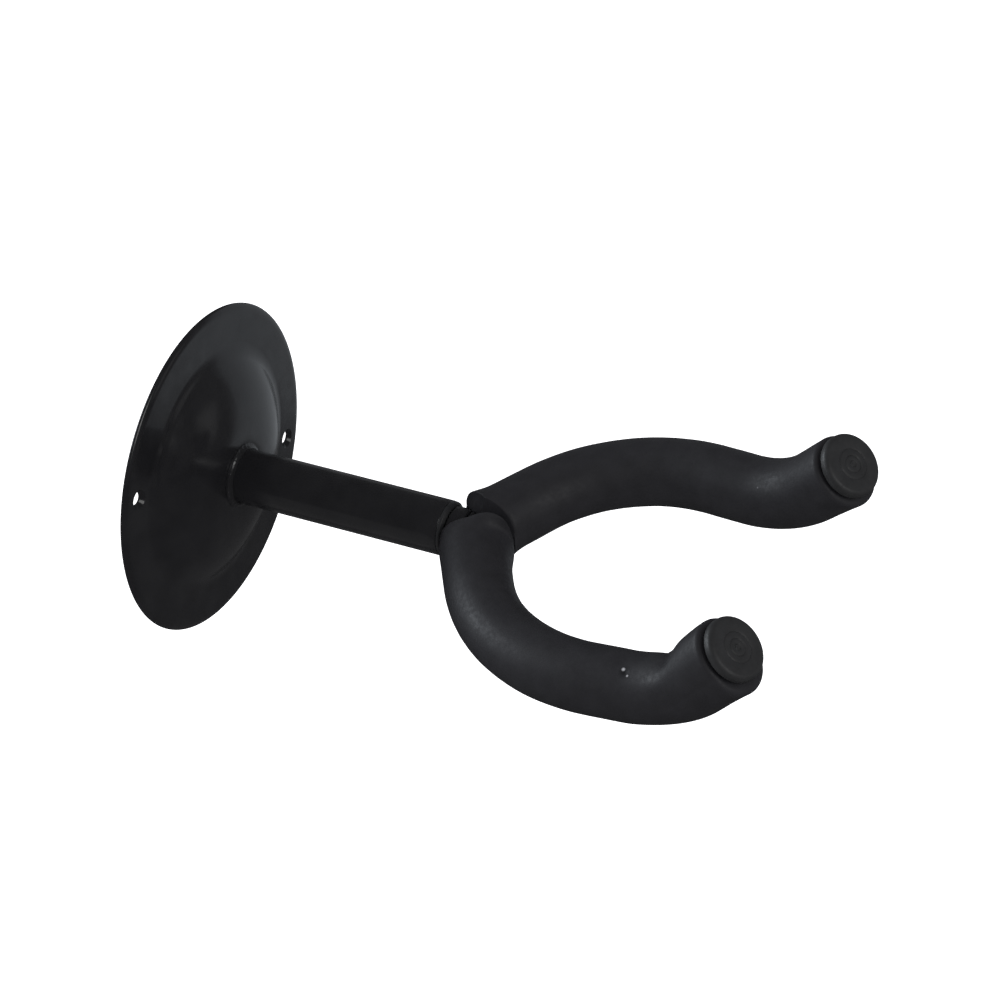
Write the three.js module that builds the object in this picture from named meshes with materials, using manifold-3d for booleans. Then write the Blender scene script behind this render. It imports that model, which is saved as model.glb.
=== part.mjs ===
// Wall guitar hanger: a round pressed-steel wall plate, a steel neck tube welded square to it, and
// a foam-covered yoke on a spindle that swivels in two nylon bushes inside the tube.
//
// Millimetres. The wall is the plane y = 0, the hanger stands out towards -Y and +Z is up. The origin
// is the centre of the plate's back, and the two screw holes lie on the X axis. Turned pieces are drawn
// as [radius, reach] pairs, where reach is the distance out from the wall (reach = -y).

import * as THREE from 'three';
import { mergeVertices } from 'three/addons/utils/BufferGeometryUtils.js';
import Module from 'manifold-3d';

const wasm = await Module();
wasm.setup();

const { degToRad } = THREE.MathUtils;

// ---- Gaps between neighbouring solids ----
const GAP = 0.3; // between pieces that touch or are welded
const RUN = 0.15; // between pieces that turn on each other

// ---- Wall plate ----
const PLATE_RADIUS = 48.3;
const SHEET = 1.6; // sheet thickness
const FLANGE_INNER_RADIUS = 37.5; // the flat flange ends here and the dome begins
const DOME_REACH = 11; // the dome's flat top
const DOME_TOP_RADIUS = 10;
const DOME_FOOT_RADIUS = 8; // radius of the hollow curve at the dome's foot
const DOME_FLANK_ANGLE = degToRad(36); // steepest slope of the dome
const SCREW_CIRCLE_RADIUS = 41.5;
const SCREW_HOLE_RADIUS = 1.9;
const COUNTERSINK_RADIUS = 2.7;

// ---- Neck tube and swivel ----
const TUBE_RADIUS = 8;
const TUBE_WALL = 1.2;
const TUBE_END_REACH = 77.9;
const SHANK_RADIUS = 5;
const BUSH_LENGTH = 12;
const FRONT_FLANGE = 1.2; // thickness of the front bush's flange
const REAR_FLANGE = 1;
const REAR_FLANGE_RADIUS = 8.6;
const WASHER_RADIUS = 7.8;
const WAVE_RADIUS = 8;
const HEAD_RADIUS = 6.8; // spindle head
const HEAD_END_REACH = 84.3;
const TAIL_RADIUS = 3; // threaded tail of the spindle
const TAIL_END_REACH = 0.5;
const WELD_SIZE = 1.5;

// ---- Yoke ----
const YOKE_REACH = 85; // where the straight legs of the two arms would cross
const YOKE_SWIVEL = degToRad(-28.6); // turned about the neck, away from level
const YOKE_RAKE = degToRad(-2); // both arms rise a little towards their tips
const ROD_RADIUS = 5;
const FOAM_RADIUS = 9.75;
const CAP_RADIUS = 9.1;
const CROTCH_RADIUS = 12; // bend at the middle of the rod
const LEG_ANGLE = degToRad(33); // each leg leans this far forward of sideways
const LEG_LENGTH = 22; // from the crossing point to the start of the arm's bend
const ARM_RADIUS = 50;
const ARM_TOE_IN = degToRad(4); // the arms close up a little past parallel
const ARM_LENGTH = 10; // straight stretch of the arm
const TIP_RADIUS = 32; // upward bend of the tip
const TIP_ANGLE = degToRad(43);
const TIP_LENGTH = 16.5; // straight stretch up to the cap's rim
const CAP_DEPTH = 2.8; // side wall of the cap, below its rim
const CAP_CROWN = 1; // crown above the rim
const SOCKET_DEPTH = 2; // the rod's end sits this deep in the cap
const FOAM_START = { left: -3.6, right: -2 }; // below zero: the sleeve reaches onto the crotch bend
const CONTACT_LEAN = degToRad(16.7); // the face between the two sleeves leans to the right arm

// ---- Sizes that follow ----
const BORE_RADIUS = TUBE_RADIUS - TUBE_WALL;
const BUSH_RADIUS = BORE_RADIUS - GAP;
const LAND_UNDERSIDE = DOME_REACH - SHEET;
const CROTCH_TANGENT = CROTCH_RADIUS * Math.tan(LEG_ANGLE);
const CROTCH_HALF = CROTCH_RADIUS * LEG_ANGLE; // half of the crotch bend, along the rod
const CROTCH_APEX = YOKE_REACH + CROTCH_RADIUS * (1 / Math.cos(LEG_ANGLE) - 1);

// ---- Finishes ----
const finish = (color, roughness, metalness) => new THREE.MeshStandardMaterial({ color, roughness, metalness });
const glossBlack = finish(0x17171b, 0.22, 0.3);
const blackWeld = finish(0x141417, 0.3, 0.3);
const charcoalFoam = finish(0x232327, 0.75, 0);
const capRubber = finish(0x27282a, 0.5, 0);
const blackNylon = finish(0x1b1c1e, 0.45, 0);
const zincSteel = finish(0xa8abb0, 0.35, 0.9);
const whiteNylon = finish(0xd8d8d2, 0.5, 0);

const hanger = new THREE.Group();

// ---- Helpers ----

function place(parent, name, geometry, material) {
  const mesh = new THREE.Mesh(geometry, material);
  mesh.name = name;
  parent.add(mesh);
  return mesh;
}

// A solid turned about the Y axis from a closed loop of [radius, reach] points.
function turned(loop, sides) {
  const points = loop.map(([radius, reach]) => new THREE.Vector2(radius, -reach));
  if (THREE.ShapeUtils.isClockWise(points)) points.reverse();
  points.push(points[0].clone());
  return new THREE.LatheGeometry(points, sides);
}

// Points of an arc in the [radius, reach] plane, from one angle to another.
function arc(centre, radius, from, to, steps) {
  return Array.from({ length: steps + 1 }, (_, i) => {
    const angle = from + ((to - from) * i) / steps;
    return [centre[0] + radius * Math.cos(angle), centre[1] + radius * Math.sin(angle)];
  });
}

function ring(innerRadius, outerRadius, low, high) {
  return [[innerRadius, low], [outerRadius, low], [outerRadius, high], [innerRadius, high]];
}

function toSolid(geometry) {
  const bare = geometry.clone();
  bare.deleteAttribute('normal');
  bare.deleteAttribute('uv');
  const merged = mergeVertices(bare);
  return new wasm.Manifold(new wasm.Mesh({
    numProp: 3,
    vertProperties: new Float32Array(merged.attributes.position.array),
    triVerts: new Uint32Array(merged.index.array),
  }));
}

function toGeometry(solid) {
  const mesh = solid.getMesh();
  const geometry = new THREE.BufferGeometry();
  geometry.setAttribute('position', new THREE.BufferAttribute(mesh.vertProperties, 3));
  geometry.setIndex(new THREE.BufferAttribute(mesh.triVerts, 1));
  geometry.computeVertexNormals();
  return geometry;
}

const cut = (geometry, ...tools) =>
  toGeometry(tools.reduce((solid, tool) => solid.subtract(toSolid(tool)), toSolid(geometry)));

// ---- Wall plate ----

// Front surface of the plate from the edge of the flat dome top out to the flange: the crown of the
// dome is one arc down to its steepest slope, and the foot is a hollow arc that levels out.
function domeFront() {
  const footCentre = [FLANGE_INNER_RADIUS, SHEET + DOME_FOOT_RADIUS];
  const footTop = [
    footCentre[0] - DOME_FOOT_RADIUS * Math.sin(DOME_FLANK_ANGLE),
    footCentre[1] - DOME_FOOT_RADIUS * Math.cos(DOME_FLANK_ANGLE),
  ];
  // The crown arc leaves footTop square to its radius and passes through the edge of the flat top.
  const across = footTop[0] - DOME_TOP_RADIUS;
  const rise = DOME_REACH - footTop[1];
  const slopeOfChord = Math.atan2(rise, across);
  const topAngle = 2 * slopeOfChord - DOME_FLANK_ANGLE;
  const crownRadius = Math.hypot(across, rise) / (2 * Math.sin((DOME_FLANK_ANGLE - topAngle) / 2));
  const crownCentre = [
    footTop[0] - crownRadius * Math.sin(DOME_FLANK_ANGLE),
    footTop[1] - crownRadius * Math.cos(DOME_FLANK_ANGLE),
  ];
  const up = Math.PI / 2;
  const crown = arc(crownCentre, crownRadius, up - topAngle, up - DOME_FLANK_ANGLE, 5);
  const foot = arc(footCentre, DOME_FOOT_RADIUS, -up - DOME_FLANK_ANGLE, -up, 4);
  return [...crown, ...foot.slice(1)];
}

function countersunkHole(x) {
  const past = 1; // the cutter runs this far past both faces
  const hole = turned([
    [0, -past],
    [SCREW_HOLE_RADIUS, -past],
    [SCREW_HOLE_RADIUS, SHEET - (COUNTERSINK_RADIUS - SCREW_HOLE_RADIUS)],
    [COUNTERSINK_RADIUS + past, SHEET + past],
    [0, SHEET + past],
  ], 28);
  return hole.translate(x, 0, 0);
}

function wallPlate() {
  const front = domeFront();
  const lowered = front.map(([radius, reach]) => [radius, reach - SHEET]);
  const half = SHEET / 2;
  const rim = arc([PLATE_RADIUS - half, half], half, Math.PI / 2, -Math.PI / 2, 4);
  const centreHole = BORE_RADIUS + GAP / 2;
  const loop = [
    [centreHole, DOME_REACH],
    ...front,
    ...rim,
    ...lowered.reverse(),
    [centreHole, LAND_UNDERSIDE],
  ];
  return cut(
    turned(loop, 64),
    countersunkHole(SCREW_CIRCLE_RADIUS),
    countersunkHole(-SCREW_CIRCLE_RADIUS),
  );
}

// ---- Neck tube ----

function neckTube() {
  const edge = 0.5; // rounding of the open end
  const corner = arc([TUBE_RADIUS - edge, TUBE_END_REACH - edge], edge, 0, Math.PI / 2, 3);
  return turned([
    [BORE_RADIUS, DOME_REACH + GAP],
    [TUBE_RADIUS, DOME_REACH + GAP],
    ...corner,
    [BORE_RADIUS, TUBE_END_REACH],
  ], 48);
}

// Fillet weld around the foot of the tube: a hollow quarter round.
function plateWeld() {
  const inner = TUBE_RADIUS + GAP;
  const base = DOME_REACH + GAP;
  const toe = 0.3; // thickness at the fillet's two edges
  const hollow = arc([inner + WELD_SIZE, base + WELD_SIZE], WELD_SIZE - toe, Math.PI, 1.5 * Math.PI, 3);
  return turned([[inner, base], [inner, base + WELD_SIZE], ...hollow, [inner + WELD_SIZE, base]], 40);
}

// ---- Swivel ----

function frontBush() {
  const flangeLow = TUBE_END_REACH + GAP;
  const flangeHigh = flangeLow + FRONT_FLANGE;
  const flangeRadius = TUBE_RADIUS - 0.1; // the flange tapers from this down to the head
  return turned([
    [SHANK_RADIUS + RUN, flangeLow - BUSH_LENGTH],
    [BUSH_RADIUS, flangeLow - BUSH_LENGTH],
    [BUSH_RADIUS, flangeLow],
    [flangeRadius, flangeLow],
    [flangeRadius, flangeLow + FRONT_FLANGE / 2],
    [HEAD_RADIUS, flangeHigh],
    [SHANK_RADIUS + RUN, flangeHigh],
  ], 40);
}

const REAR_FLANGE_LOW = LAND_UNDERSIDE - GAP - REAR_FLANGE;

function rearBush() {
  const flangeHigh = LAND_UNDERSIDE - GAP;
  return turned([
    [SHANK_RADIUS + RUN, REAR_FLANGE_LOW],
    [REAR_FLANGE_RADIUS, REAR_FLANGE_LOW],
    [REAR_FLANGE_RADIUS, flangeHigh],
    [BUSH_RADIUS, flangeHigh],
    [BUSH_RADIUS, flangeHigh + BUSH_LENGTH],
    [SHANK_RADIUS + RUN, flangeHigh + BUSH_LENGTH],
  ], 40);
}

// Spring washer: a thin flat ring pressed into three waves.
const WAVE_HEIGHT = 0.25;
const WAVE_SHEET = 0.3;
const WAVE_MIDDLE = REAR_FLANGE_LOW - RUN - WAVE_HEIGHT - WAVE_SHEET / 2;

function waveWasher() {
  const half = WAVE_SHEET / 2;
  const geometry = turned(ring(SHANK_RADIUS + GAP, WAVE_RADIUS, -half, half), 48);
  const position = geometry.attributes.position;
  for (let i = 0; i < position.count; i += 1) {
    const around = Math.atan2(position.getZ(i), position.getX(i));
    position.setY(i, position.getY(i) - WAVE_MIDDLE + WAVE_HEIGHT * Math.cos(3 * around));
  }
  return geometry;
}

const WASHER_THICKNESS = 1;
const WASHER_HIGH = WAVE_MIDDLE - WAVE_SHEET / 2 - WAVE_HEIGHT - RUN;
const WASHER_LOW = WASHER_HIGH - WASHER_THICKNESS;

function flatWasher() {
  return turned(ring(TAIL_RADIUS + GAP, WASHER_RADIUS, WASHER_LOW, WASHER_HIGH), 40);
}

// Lock nut: a hexagon with chamfered corners and a round collar that holds a nylon ring.
const NUT_HIGH = WASHER_LOW - GAP;
const NUT_LOW = TAIL_END_REACH;
const COLLAR_HIGH = NUT_LOW + 1.5;
const COLLAR_LIP = 0.35;
const INSERT_GROOVE_RADIUS = 4.2;

function lockNut() {
  const halfFlats = 5; // half of the width across the flats
  const corner = halfFlats / Math.cos(Math.PI / 6);
  const bore = TAIL_RADIUS + GAP;
  const chamfer = 0.5;
  const body = turned([
    [bore, NUT_HIGH],
    [corner - chamfer, NUT_HIGH],
    [corner, NUT_HIGH - chamfer / 2],
    [corner, COLLAR_HIGH + chamfer],
    [halfFlats - 0.1, COLLAR_HIGH],
    [halfFlats - 0.4, NUT_LOW],
    [bore + 0.2, NUT_LOW],
    [bore + 0.2, NUT_LOW + COLLAR_LIP],
    [INSERT_GROOVE_RADIUS, NUT_LOW + COLLAR_LIP],
    [INSERT_GROOVE_RADIUS, COLLAR_HIGH],
    [bore, COLLAR_HIGH],
  ], 48);
  const hexagon = new THREE.CylinderGeometry(corner, corner, NUT_HIGH - COLLAR_HIGH + 1, 6);
  hexagon.translate(0, -(NUT_HIGH + COLLAR_HIGH) / 2, 0);
  const collar = new THREE.CylinderGeometry(halfFlats - 0.05, halfFlats - 0.05, COLLAR_HIGH + 1, 48);
  collar.translate(0, -(COLLAR_HIGH + 0.6) / 2, 0);
  const outline = toSolid(hexagon).add(toSolid(collar));
  return toGeometry(toSolid(body).intersect(outline));
}

function nutInsert() {
  const low = NUT_LOW + COLLAR_LIP + GAP / 2;
  return turned(ring(TAIL_RADIUS + GAP / 2, INSERT_GROOVE_RADIUS - GAP / 2, low, COLLAR_HIGH - GAP / 2), 32);
}

// Spindle: a long shank with a threaded tail, and a head with a saddle that holds the yoke rod.
function swivelSpindle() {
  const headLow = TUBE_END_REACH + GAP + FRONT_FLANGE + RUN;
  const shankLow = WASHER_HIGH + GAP / 2;
  const chamfer = 0.6;
  const blank = turned([
    [0, TAIL_END_REACH],
    [TAIL_RADIUS - chamfer, TAIL_END_REACH],
    [TAIL_RADIUS, TAIL_END_REACH + chamfer],
    [TAIL_RADIUS, shankLow],
    [SHANK_RADIUS - chamfer, shankLow],
    [SHANK_RADIUS, shankLow + chamfer],
    [SHANK_RADIUS, headLow],
    [HEAD_RADIUS, headLow],
    [HEAD_RADIUS, HEAD_END_REACH],
    [0, HEAD_END_REACH],
  ], 48);
  return cut(blank, crotchTool());
}

// ---- Yoke ----
// The yoke is drawn level, its arms side by side along X, with the crossing point of its two
// legs at the origin of its group. An arm is a chain of stretches, each straight or part of a circle.

const INTO_WALL = new THREE.Vector3(0, 1, 0);
const UP = new THREE.Vector3(0, 0, 1);
const DOWN = UP.clone().negate();

const ARM_STRETCHES = [
  { length: LEG_LENGTH - CROTCH_TANGENT, turn: 0 },
  { length: ARM_RADIUS * (Math.PI / 2 + ARM_TOE_IN - LEG_ANGLE), turn: Math.PI / 2 + ARM_TOE_IN - LEG_ANGLE },
  { length: ARM_LENGTH, turn: 0 },
  { length: TIP_RADIUS * TIP_ANGLE, turn: TIP_ANGLE, rises: true },
  { length: TIP_LENGTH, turn: 0 },
];
const ARM_SPAN = ARM_STRETCHES.reduce((sum, stretch) => sum + stretch.length, 0);

// Position and heading at a distance along the right arm, counted from the end of the crotch bend.
function alongArm(distance) {
  const heading = new THREE.Vector3(Math.cos(LEG_ANGLE), -Math.sin(LEG_ANGLE), 0);
  const point = heading.clone().multiplyScalar(CROTCH_TANGENT);
  let left = distance;
  for (const [index, { length, turn, rises }] of ARM_STRETCHES.entries()) {
    const last = index === ARM_STRETCHES.length - 1;
    const step = last ? left : Math.min(left, length);
    const axis = rises ? heading.clone().cross(UP).normalize() : DOWN;
    const angle = (turn * step) / length;
    const side = axis.clone().cross(heading);
    const ahead = turn ? (length / turn) * Math.sin(angle) : step;
    const aside = turn ? (length / turn) * (1 - Math.cos(angle)) : 0;
    point.addScaledVector(heading, ahead).addScaledVector(side, aside);
    heading.applyAxisAngle(axis, angle);
    left -= step;
    if (left <= 0) break;
  }
  return { point, heading };
}

// Position on the right half of the crotch bend, at a distance back from its end.
function roundCrotch(back) {
  const angle = (CROTCH_HALF - back) / CROTCH_RADIUS;
  const centreY = -CROTCH_RADIUS / Math.cos(LEG_ANGLE);
  return new THREE.Vector3(CROTCH_RADIUS * Math.sin(angle), centreY + CROTCH_RADIUS * Math.cos(angle), 0);
}

// Part of the yoke's centreline, between two distances along the right arm. Distances below zero lie
// on the crotch bend, and those below -CROTCH_HALF on the left arm.
class YokeLine extends THREE.Curve {
  constructor(start, end) {
    super();
    this.start = start;
    this.end = end;
  }

  getPoint(t, target = new THREE.Vector3()) {
    const fromMiddle = THREE.MathUtils.lerp(this.start, this.end, t) + CROTCH_HALF;
    const distance = Math.abs(fromMiddle) - CROTCH_HALF;
    target.copy(distance > 0 ? alongArm(distance).point : roundCrotch(-distance));
    if (fromMiddle < 0) target.x = -target.x;
    return target;
  }
}

function circleShape(radius, holeRadius) {
  const shape = new THREE.Shape().absarc(0, 0, radius, 0, 2 * Math.PI, false);
  if (holeRadius) shape.holes.push(new THREE.Path().absarc(0, 0, holeRadius, 0, 2 * Math.PI, true));
  return shape;
}

function sweep(shape, line, steps, sides) {
  const settings = { extrudePath: line, steps, curveSegments: sides / 2 };
  return new THREE.ExtrudeGeometry(shape, settings);
}

const ROD_END = ARM_SPAN - CAP_DEPTH + SOCKET_DEPTH;

function yokeRod() {
  return sweep(circleShape(ROD_RADIUS), new YokeLine(-2 * CROTCH_HALF - ROD_END, ROD_END), 76, 12);
}

// The middle of the rod with clearance round it, drawn where the spindle stands: it cuts the saddle.
function crotchTool() {
  const past = 4; // the cutter runs this far past the crotch bend
  const tool = sweep(circleShape(ROD_RADIUS + GAP), new YokeLine(-2 * CROTCH_HALF - past, past), 12, 28);
  return tool.rotateX(YOKE_RAKE).translate(0, -YOKE_REACH, 0);
}

// Room for the spindle's head, the front bush's flange and the tube, drawn in the yoke's frame.
function neckTool() {
  const flangeEnd = TUBE_END_REACH + GAP + FRONT_FLANGE;
  const behind = YOKE_REACH / 2;
  const tool = turned([
    [0, behind],
    [TUBE_RADIUS + 2 * GAP, behind],
    [TUBE_RADIUS + 2 * GAP, flangeEnd + GAP],
    [HEAD_RADIUS + GAP, flangeEnd + GAP],
    [HEAD_RADIUS + GAP, HEAD_END_REACH + GAP],
    [0, HEAD_END_REACH + GAP],
  ], 48);
  return tool.translate(0, YOKE_REACH, 0).rotateX(-YOKE_RAKE);
}

// The space past the face where the sleeve of one arm would press on the other sleeve.
function twinTool(side) {
  const size = 60;
  const tool = new THREE.BoxGeometry(size, size, size);
  return tool.translate((side * (GAP - size)) / 2, 0, 0).rotateY(CONTACT_LEAN);
}

// A mirrored solid has its faces turned in, so each triangle's corners swap places.
function mirrored(geometry) {
  geometry.scale(-1, 1, 1);
  const position = geometry.attributes.position;
  for (let i = 0; i < position.count; i += 3) {
    const kept = [position.getX(i), position.getY(i), position.getZ(i)];
    position.setXYZ(i, position.getX(i + 2), position.getY(i + 2), position.getZ(i + 2));
    position.setXYZ(i + 2, ...kept);
  }
  return geometry;
}

// Foam tube over one arm, trimmed where the neck and the other sleeve are in its way.
function foamSleeve(side, start) {
  const line = new YokeLine(start, ARM_SPAN - CAP_DEPTH - GAP);
  const tube = sweep(circleShape(FOAM_RADIUS, ROD_RADIUS + GAP), line, 36, 18);
  return cut(side < 0 ? mirrored(tube) : tube, neckTool(), twinTool(side));
}

// Cap: a round-edged disc with a blind socket that sits on the rod's end. It is turned about Y
// with its rim at zero, its crown towards +Y.
function endCap() {
  const edge = 1.5;
  const corner = arc([CAP_RADIUS - edge, -CAP_CROWN + edge], edge, 0, -Math.PI / 2, 4);
  const socketEnd = CAP_DEPTH - SOCKET_DEPTH - GAP;
  return turned([
    [0, -CAP_CROWN],
    ...corner.reverse(),
    [CAP_RADIUS, CAP_DEPTH],
    [ROD_RADIUS + GAP, CAP_DEPTH],
    [ROD_RADIUS + GAP, socketEnd],
    [0, socketEnd],
  ], 40);
}

// Weld bead between the edge of the spindle's saddle and the rod, above or below the rod.
function saddleWeld(side) {
  const beadRadius = 0.8;
  const halfLength = 2.5;
  const bead = new THREE.CapsuleGeometry(beadRadius, 2 * halfLength, 3, 12);
  bead.rotateZ(Math.PI / 2);
  const clear = beadRadius + GAP;
  const reach = HEAD_END_REACH + clear;
  const height = Math.sqrt((ROD_RADIUS + clear) ** 2 - (CROTCH_APEX - reach) ** 2) + 0.15;
  return bead.translate(0, -reach, side * height);
}

// ---- Assembly ----

place(hanger, 'wall_plate', wallPlate(), glossBlack);
place(hanger, 'neck_tube', neckTube(), glossBlack);
place(hanger, 'plate_weld', plateWeld(), blackWeld);
place(hanger, 'front_bush', frontBush(), blackNylon);
place(hanger, 'rear_bush', rearBush(), blackNylon);
place(hanger, 'wave_washer', waveWasher(), zincSteel);

const swivel = new THREE.Group();
swivel.rotation.y = YOKE_SWIVEL;
hanger.add(swivel);
place(swivel, 'swivel_spindle', swivelSpindle(), glossBlack);
place(swivel, 'flat_washer', flatWasher(), zincSteel);
place(swivel, 'lock_nut', lockNut(), zincSteel);
place(swivel, 'nut_insert', nutInsert(), whiteNylon);
place(swivel, 'saddle_weld_upper', saddleWeld(1), blackWeld);
place(swivel, 'saddle_weld_lower', saddleWeld(-1), blackWeld);

const yoke = new THREE.Group();
yoke.position.y = -YOKE_REACH;
yoke.rotation.x = YOKE_RAKE;
swivel.add(yoke);
place(yoke, 'yoke_rod', yokeRod(), glossBlack);

for (const [side, label] of [[-1, 'left'], [1, 'right']]) {
  place(yoke, `foam_sleeve_${label}`, foamSleeve(side, FOAM_START[label]), charcoalFoam);
  const tip = alongArm(ARM_SPAN);
  tip.point.x *= side;
  tip.heading.x *= side;
  const cap = place(yoke, `end_cap_${label}`, endCap(), capRubber);
  cap.position.copy(tip.point);
  cap.quaternion.setFromUnitVectors(INTO_WALL, tip.heading);
}

export default hanger;
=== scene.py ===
"""Looks of the wall guitar hanger: meshes, finishes, studio light and camera around the CAD frame.

The wall is the plane y = 0, the hanger stands out towards -Y and +Z is up. Blender works in metres; the sizes
below are in millimetres and the helpers turn them into metres. The outline of a turned piece is a list of
(radius, reach) pairs, where reach is the distance out from the wall.
"""

from math import atan2, cos, degrees, exp, hypot, pi, radians, sin, sqrt, tan

import bmesh
import bpy
from mathutils import Matrix, Quaternion, Vector, noise


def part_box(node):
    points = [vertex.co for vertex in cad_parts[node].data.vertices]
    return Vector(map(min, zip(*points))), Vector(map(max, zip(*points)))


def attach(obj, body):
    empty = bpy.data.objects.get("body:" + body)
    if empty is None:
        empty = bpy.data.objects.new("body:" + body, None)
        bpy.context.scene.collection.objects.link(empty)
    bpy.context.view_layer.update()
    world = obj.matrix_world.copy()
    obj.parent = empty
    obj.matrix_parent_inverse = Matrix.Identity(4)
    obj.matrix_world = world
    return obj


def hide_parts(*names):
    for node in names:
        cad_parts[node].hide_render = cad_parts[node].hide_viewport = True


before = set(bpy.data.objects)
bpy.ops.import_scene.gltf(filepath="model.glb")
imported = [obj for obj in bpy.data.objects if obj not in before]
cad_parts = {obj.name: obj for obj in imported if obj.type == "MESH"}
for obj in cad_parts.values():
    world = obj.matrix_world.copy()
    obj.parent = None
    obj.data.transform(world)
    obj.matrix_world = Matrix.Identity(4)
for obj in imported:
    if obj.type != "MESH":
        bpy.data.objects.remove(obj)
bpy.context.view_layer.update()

MM = 0.001
FIXED = "wall_bracket"
MOVING = "swivel_yoke"

# ---- Driving sizes, in millimetres ----
SHEET = 1.6  # sheet thickness of the wall plate
PLATE_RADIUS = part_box("wall_plate")[1].x / MM
FLANGE_INNER_RADIUS = 37.5
DOME_REACH = -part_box("wall_plate")[0].y / MM
DOME_TOP_RADIUS = 10
DOME_FOOT_RADIUS = 8
DOME_FLANK_ANGLE = radians(36)
SCREW_CIRCLE_RADIUS = 41.5
SCREW_HOLE_RADIUS = 1.9
COUNTERSINK_RADIUS = 2.7
FLANGE_FALL = 0.35  # the flange leans back this much on its way out to the rim

TUBE_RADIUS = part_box("neck_tube")[1].x / MM
TUBE_WALL = 1.2
TUBE_END_REACH = -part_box("neck_tube")[0].y / MM
SHANK_RADIUS = 5
BUSH_LENGTH = 12
FRONT_FLANGE = 1.2
REAR_FLANGE = 1
REAR_FLANGE_RADIUS = 8.6
WAVE_HEIGHT = 0.25
WAVE_SHEET = 0.3
WAVE_RADIUS = 8
WASHER_SHEET = 1
WASHER_RADIUS = 7.8
NUT_HALF_FLATS = 5
COLLAR_LENGTH = 1.5
COLLAR_GROOVE_RADIUS = 4.2
HEAD_RADIUS = 6.8
HEAD_END_REACH = 84.3
TAIL_RADIUS = 3
TAIL_END_REACH = 0.5
GAP = 0.3  # between pieces that touch
RUN = 0.15  # between pieces that slide on each other

YOKE_REACH = 85
YOKE_SWIVEL = radians(-28.6)
YOKE_RAKE = radians(-2)
ROD_RADIUS = 5
FOAM_RADIUS = 9.75
CAP_RADIUS = 9.1
CROTCH_RADIUS = 12
LEG_ANGLE = radians(33)
LEG_LENGTH = 22
ARM_RADIUS = 50
ARM_TOE_IN = radians(4)
ARM_LENGTH = 10
TIP_RADIUS = 32
TIP_ANGLE = radians(43)
TIP_LENGTH = 16.5
CAP_DEPTH = 2.8
CAP_CROWN = 1
TIP_SAG = {-1: -1.9, 1: 0.0}  # how much lower each tip ends than its plain bend

# ---- Sizes that follow ----
BORE_RADIUS = TUBE_RADIUS - TUBE_WALL
BUSH_RADIUS = BORE_RADIUS - GAP
LAND_UNDERSIDE = DOME_REACH - SHEET
REAR_FLANGE_LOW = LAND_UNDERSIDE - GAP - REAR_FLANGE
WAVE_MIDDLE = REAR_FLANGE_LOW - RUN - WAVE_HEIGHT - WAVE_SHEET / 2
WASHER_HIGH = WAVE_MIDDLE - WAVE_SHEET / 2 - WAVE_HEIGHT - RUN
WASHER_LOW = WASHER_HIGH - WASHER_SHEET
NUT_LOW = TAIL_END_REACH
NUT_HIGH = WASHER_LOW - GAP
COLLAR_HIGH = NUT_LOW + COLLAR_LENGTH
CROTCH_TANGENT = CROTCH_RADIUS * tan(LEG_ANGLE)
CROTCH_HALF = CROTCH_RADIUS * LEG_ANGLE
CROTCH_APEX = YOKE_REACH + CROTCH_RADIUS * (1 / cos(LEG_ANGLE) - 1)
ARM_TURN = pi / 2 + ARM_TOE_IN - LEG_ANGLE

# An arm of the yoke is a chain of stretches: length, turn, and whether it turns upwards.
ARM_STRETCHES = [
    (LEG_LENGTH - CROTCH_TANGENT, 0, False),
    (ARM_RADIUS * ARM_TURN, ARM_TURN, False),
    (ARM_LENGTH, 0, False),
    (TIP_RADIUS * TIP_ANGLE, TIP_ANGLE, True),
    (TIP_LENGTH, 0, False),
]
ARM_SPAN = sum(length for length, turn, rises in ARM_STRETCHES)
FOAM_START = {-1: -3.6, 1: -2.0}  # distance along each arm; the left sleeve starts further back
FOAM_END = ARM_SPAN - CAP_DEPTH - GAP
ROD_END = ARM_SPAN - CAP_DEPTH + 2

UP = Vector((0, 0, 1))
DOWN = Vector((0, 0, -1))

SWIVEL = Matrix.Rotation(YOKE_SWIVEL, 4, "Y")
YOKE = SWIVEL @ Matrix.Translation((0, -YOKE_REACH, 0)) @ Matrix.Rotation(YOKE_RAKE, 4, "X")


# ---- Outlines ----

def arc(centre, radius, start, end, steps):
    """Points of an arc in the (radius, reach) plane, from one angle to another."""
    angles = [start + (end - start) * i / steps for i in range(steps + 1)]
    return [(centre[0] + radius * cos(a), centre[1] + radius * sin(a)) for a in angles]


def soften(corners, steps=4):
    """Closed outline from (radius, reach, fillet) corners, each rounded by its fillet radius."""
    outline = []
    for i, (x, y, fillet) in enumerate(corners):
        here = Vector((x, y))
        back = (Vector(corners[i - 1][:2]) - here).normalized()
        ahead = (Vector(corners[(i + 1) % len(corners)][:2]) - here).normalized()
        if not fillet:
            outline.append((x, y))
            continue
        half = back.angle(ahead) / 2
        centre = here + (back + ahead).normalized() * (fillet / sin(half))
        first = here + back * (fillet / tan(half)) - centre
        last = here + ahead * (fillet / tan(half)) - centre
        turn = atan2(first.x * last.y - first.y * last.x, first.dot(last))
        start = atan2(first.y, first.x)
        outline += arc(centre, fillet, start, start + turn, steps)
    return outline


def refine(outline, longest):
    """The same closed outline with its long sides split, so that no side is longer than longest."""
    fine = []
    for i, (x, y) in enumerate(outline):
        nx, ny = outline[(i + 1) % len(outline)]
        parts = max(1, round(hypot(nx - x, ny - y) / longest))
        fine += [(x + (nx - x) * k / parts, y + (ny - y) * k / parts) for k in range(parts)]
    return fine


# ---- Meshes ----

SHARP = radians(35)  # edges that turn more than this stay crisp


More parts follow.
